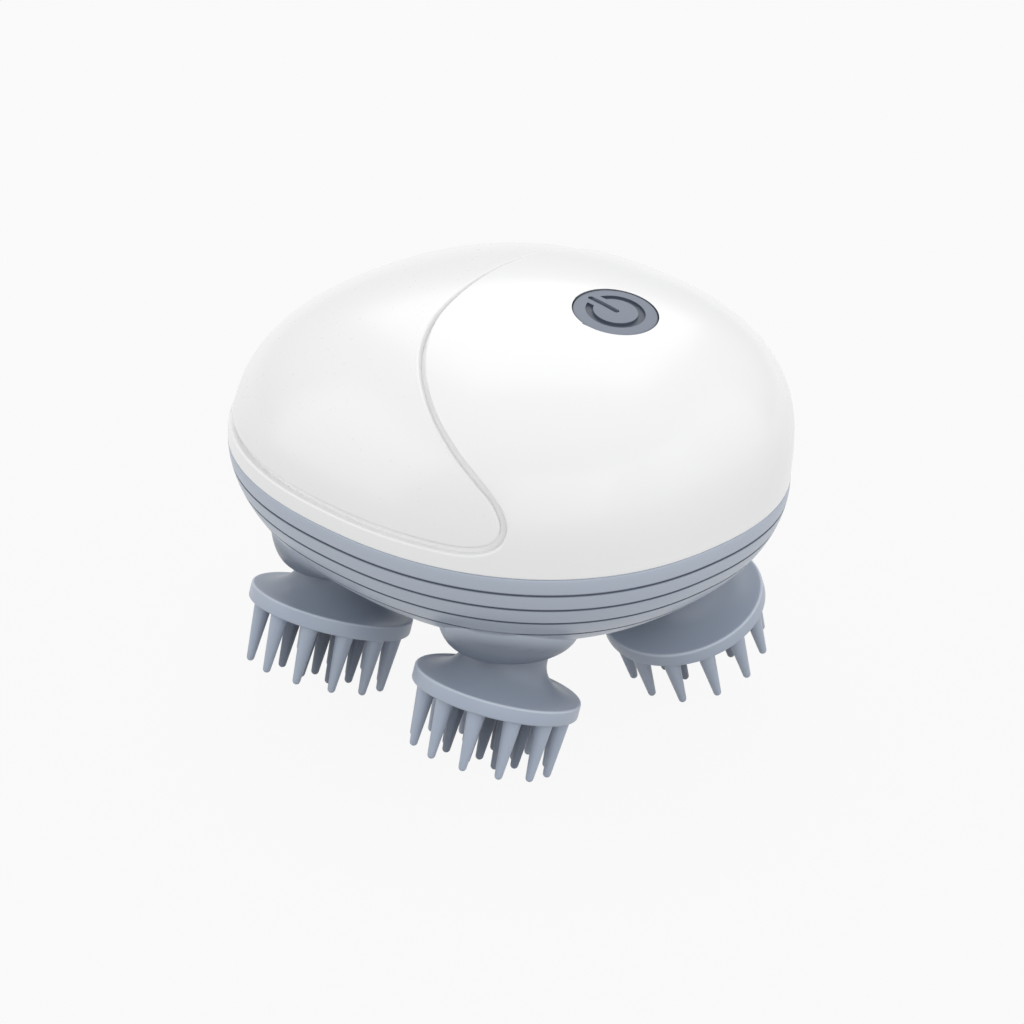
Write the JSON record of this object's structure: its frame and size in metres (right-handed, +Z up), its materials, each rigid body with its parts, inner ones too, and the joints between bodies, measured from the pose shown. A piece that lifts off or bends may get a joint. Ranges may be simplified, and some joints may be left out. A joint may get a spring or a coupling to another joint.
{
  "type": "electric scalp massager",
  "caption": "Palm-sized electric scalp massager: domed white shell with a wrap-round side panel and top button, grooved blue-grey bowl, splayed turning silicone heads with tines.",
  "frame": {"origin": "On the surface that the lowest tines stand on, under the middle of the body", "axes": "+X along the long axis towards the end with the power button, +Y towards the side with the charging port, +Z up from the tines to the crown"},
  "size_m": [0.1104, 0.0928, 0.0857],
  "materials": {
    "shell": "glossy white moulded plastic",
    "panel": "glossy white moulded plastic, a shade darker than the shell",
    "bowl": "satin blue-grey moulded plastic",
    "silicone": "soft matt blue-grey silicone",
    "button": "matt grey silicone with the power sign sunk in",
    "flap": "matt blue-grey silicone",
    "hub": "dark grey nylon",
    "gear": "natural acetal",
    "frame": "dark grey moulded plastic",
    "steel": "plain steel",
    "bronze": "sintered bronze",
    "copper": "copper",
    "magnet": "dark ferrite",
    "seal": "black rubber",
    "board": "green circuit board",
    "switch": "black plastic",
    "cell": "metal can in blue wrap",
    "wire_red": "red insulated wire",
    "wire_black": "black insulated wire",
    "wire_yellow": "yellow insulated wire"
  },
  "bodies": {
    "housing": {"upper_shell": "shell", "side_panel": "panel", "lower_shell": "bowl", "shell_seal": "seal", "gear_frame": "frame", "power_switch": "steel", "main_board": "board", "motor_can": "steel", "motor_end_cap": "switch", "motor_magnets": "magnet", "motor_terminals": "copper", "worm_bush": "bronze", "wheel_bushes": "bronze", "lower_bushes": "bronze", "upper_bushes": "bronze", "shaft_seals": "seal", "battery_cell": "cell", "charge_board": "board", "usb_socket": "steel", "flap_root": "flap", "housing_screws": "steel", "frame_screws": "steel", "board_screws": "steel", "motor_screws": "steel", "battery_leads": "wire_red", "motor_leads": "wire_black", "charge_leads": "wire_yellow"},
    "power_button": {"power_button": "button", "switch_plunger": "switch"},
    "port_flap": {"port_flap": "flap"},
    "worm_rotor": {"worm": "gear", "motor_shaft": "steel", "motor_rotor": "copper"},
    "front_wheel": {"front_worm_wheel": "gear", "front_pinion": "gear", "front_wheel_shaft": "steel"},
    "back_wheel": {"back_worm_wheel": "gear", "back_pinion": "gear", "back_wheel_shaft": "steel"},
    "front_left": {"front_left_head": "silicone", "front_left_hub": "hub", "front_left_shaft": "steel", "front_left_gear": "gear"},
    "front_right": {"front_right_head": "silicone", "front_right_hub": "hub", "front_right_shaft": "steel", "front_right_gear": "gear"},
    "back_left": {"back_left_head": "silicone", "back_left_hub": "hub", "back_left_shaft": "steel", "back_left_gear": "gear"},
    "back_right": {"back_right_head": "silicone", "back_right_hub": "hub", "back_right_shaft": "steel", "back_right_gear": "gear"}
  },
  "joints": [
    {"name": "worm_spin", "type": "hinge", "parent": "housing", "child": "worm_rotor", "pos_m": [0, 0, 0.05595], "axis": [1, 0, 0], "continuous": true},
    {"name": "front_wheel_spin", "type": "hinge", "parent": "housing", "child": "front_wheel", "pos_m": [0, -0.02405, 0.0183], "axis": [0, 0.3371, 0.9415], "continuous": true},
    {"name": "back_wheel_spin", "type": "hinge", "parent": "housing", "child": "back_wheel", "pos_m": [0, 0.02405, 0.0183], "axis": [0, -0.3371, 0.9415], "continuous": true},
    {"name": "front_left_spin", "type": "hinge", "parent": "housing", "child": "front_left", "pos_m": [-0.0228, -0.02405, 0.0183], "axis": [0, 0.3371, 0.9415], "continuous": true},
    {"name": "front_right_spin", "type": "hinge", "parent": "housing", "child": "front_right", "pos_m": [0.0228, -0.02405, 0.0183], "axis": [0, 0.3371, 0.9415], "continuous": true},
    {"name": "back_left_spin", "type": "hinge", "parent": "housing", "child": "back_left", "pos_m": [-0.0228, 0.02405, 0.0183], "axis": [0, -0.3371, 0.9415], "continuous": true},
    {"name": "back_right_spin", "type": "hinge", "parent": "housing", "child": "back_right", "pos_m": [0.0228, 0.02405, 0.0183], "axis": [0, -0.3371, 0.9415], "continuous": true},
    {"name": "button_press", "type": "slide", "parent": "housing", "child": "power_button", "axis": [-0.1712, -0.015, -0.9851], "range_m": [0, 0.0006], "stiffness_N_per_m": 800, "springref_m": -0.0005},
    {"name": "flap_swing", "type": "hinge", "parent": "housing", "child": "port_flap", "pos_m": [0.0094, 0.0454, 0.0434], "axis": [0, -0.3322, -0.9432], "range_deg": [0, 100]}
  ],
  "couplings": [
    {"joint": "front_wheel_spin", "follows": "worm_spin", "ratio": 0.037037},
    {"joint": "back_wheel_spin", "follows": "worm_spin", "ratio": -0.037037},
    {"joint": "front_left_spin", "follows": "worm_spin", "ratio": -0.02381},
    {"joint": "front_right_spin", "follows": "worm_spin", "ratio": -0.02381},
    {"joint": "back_left_spin", "follows": "worm_spin", "ratio": 0.02381},
    {"joint": "back_right_spin", "follows": "worm_spin", "ratio": 0.02381}
  ]
}
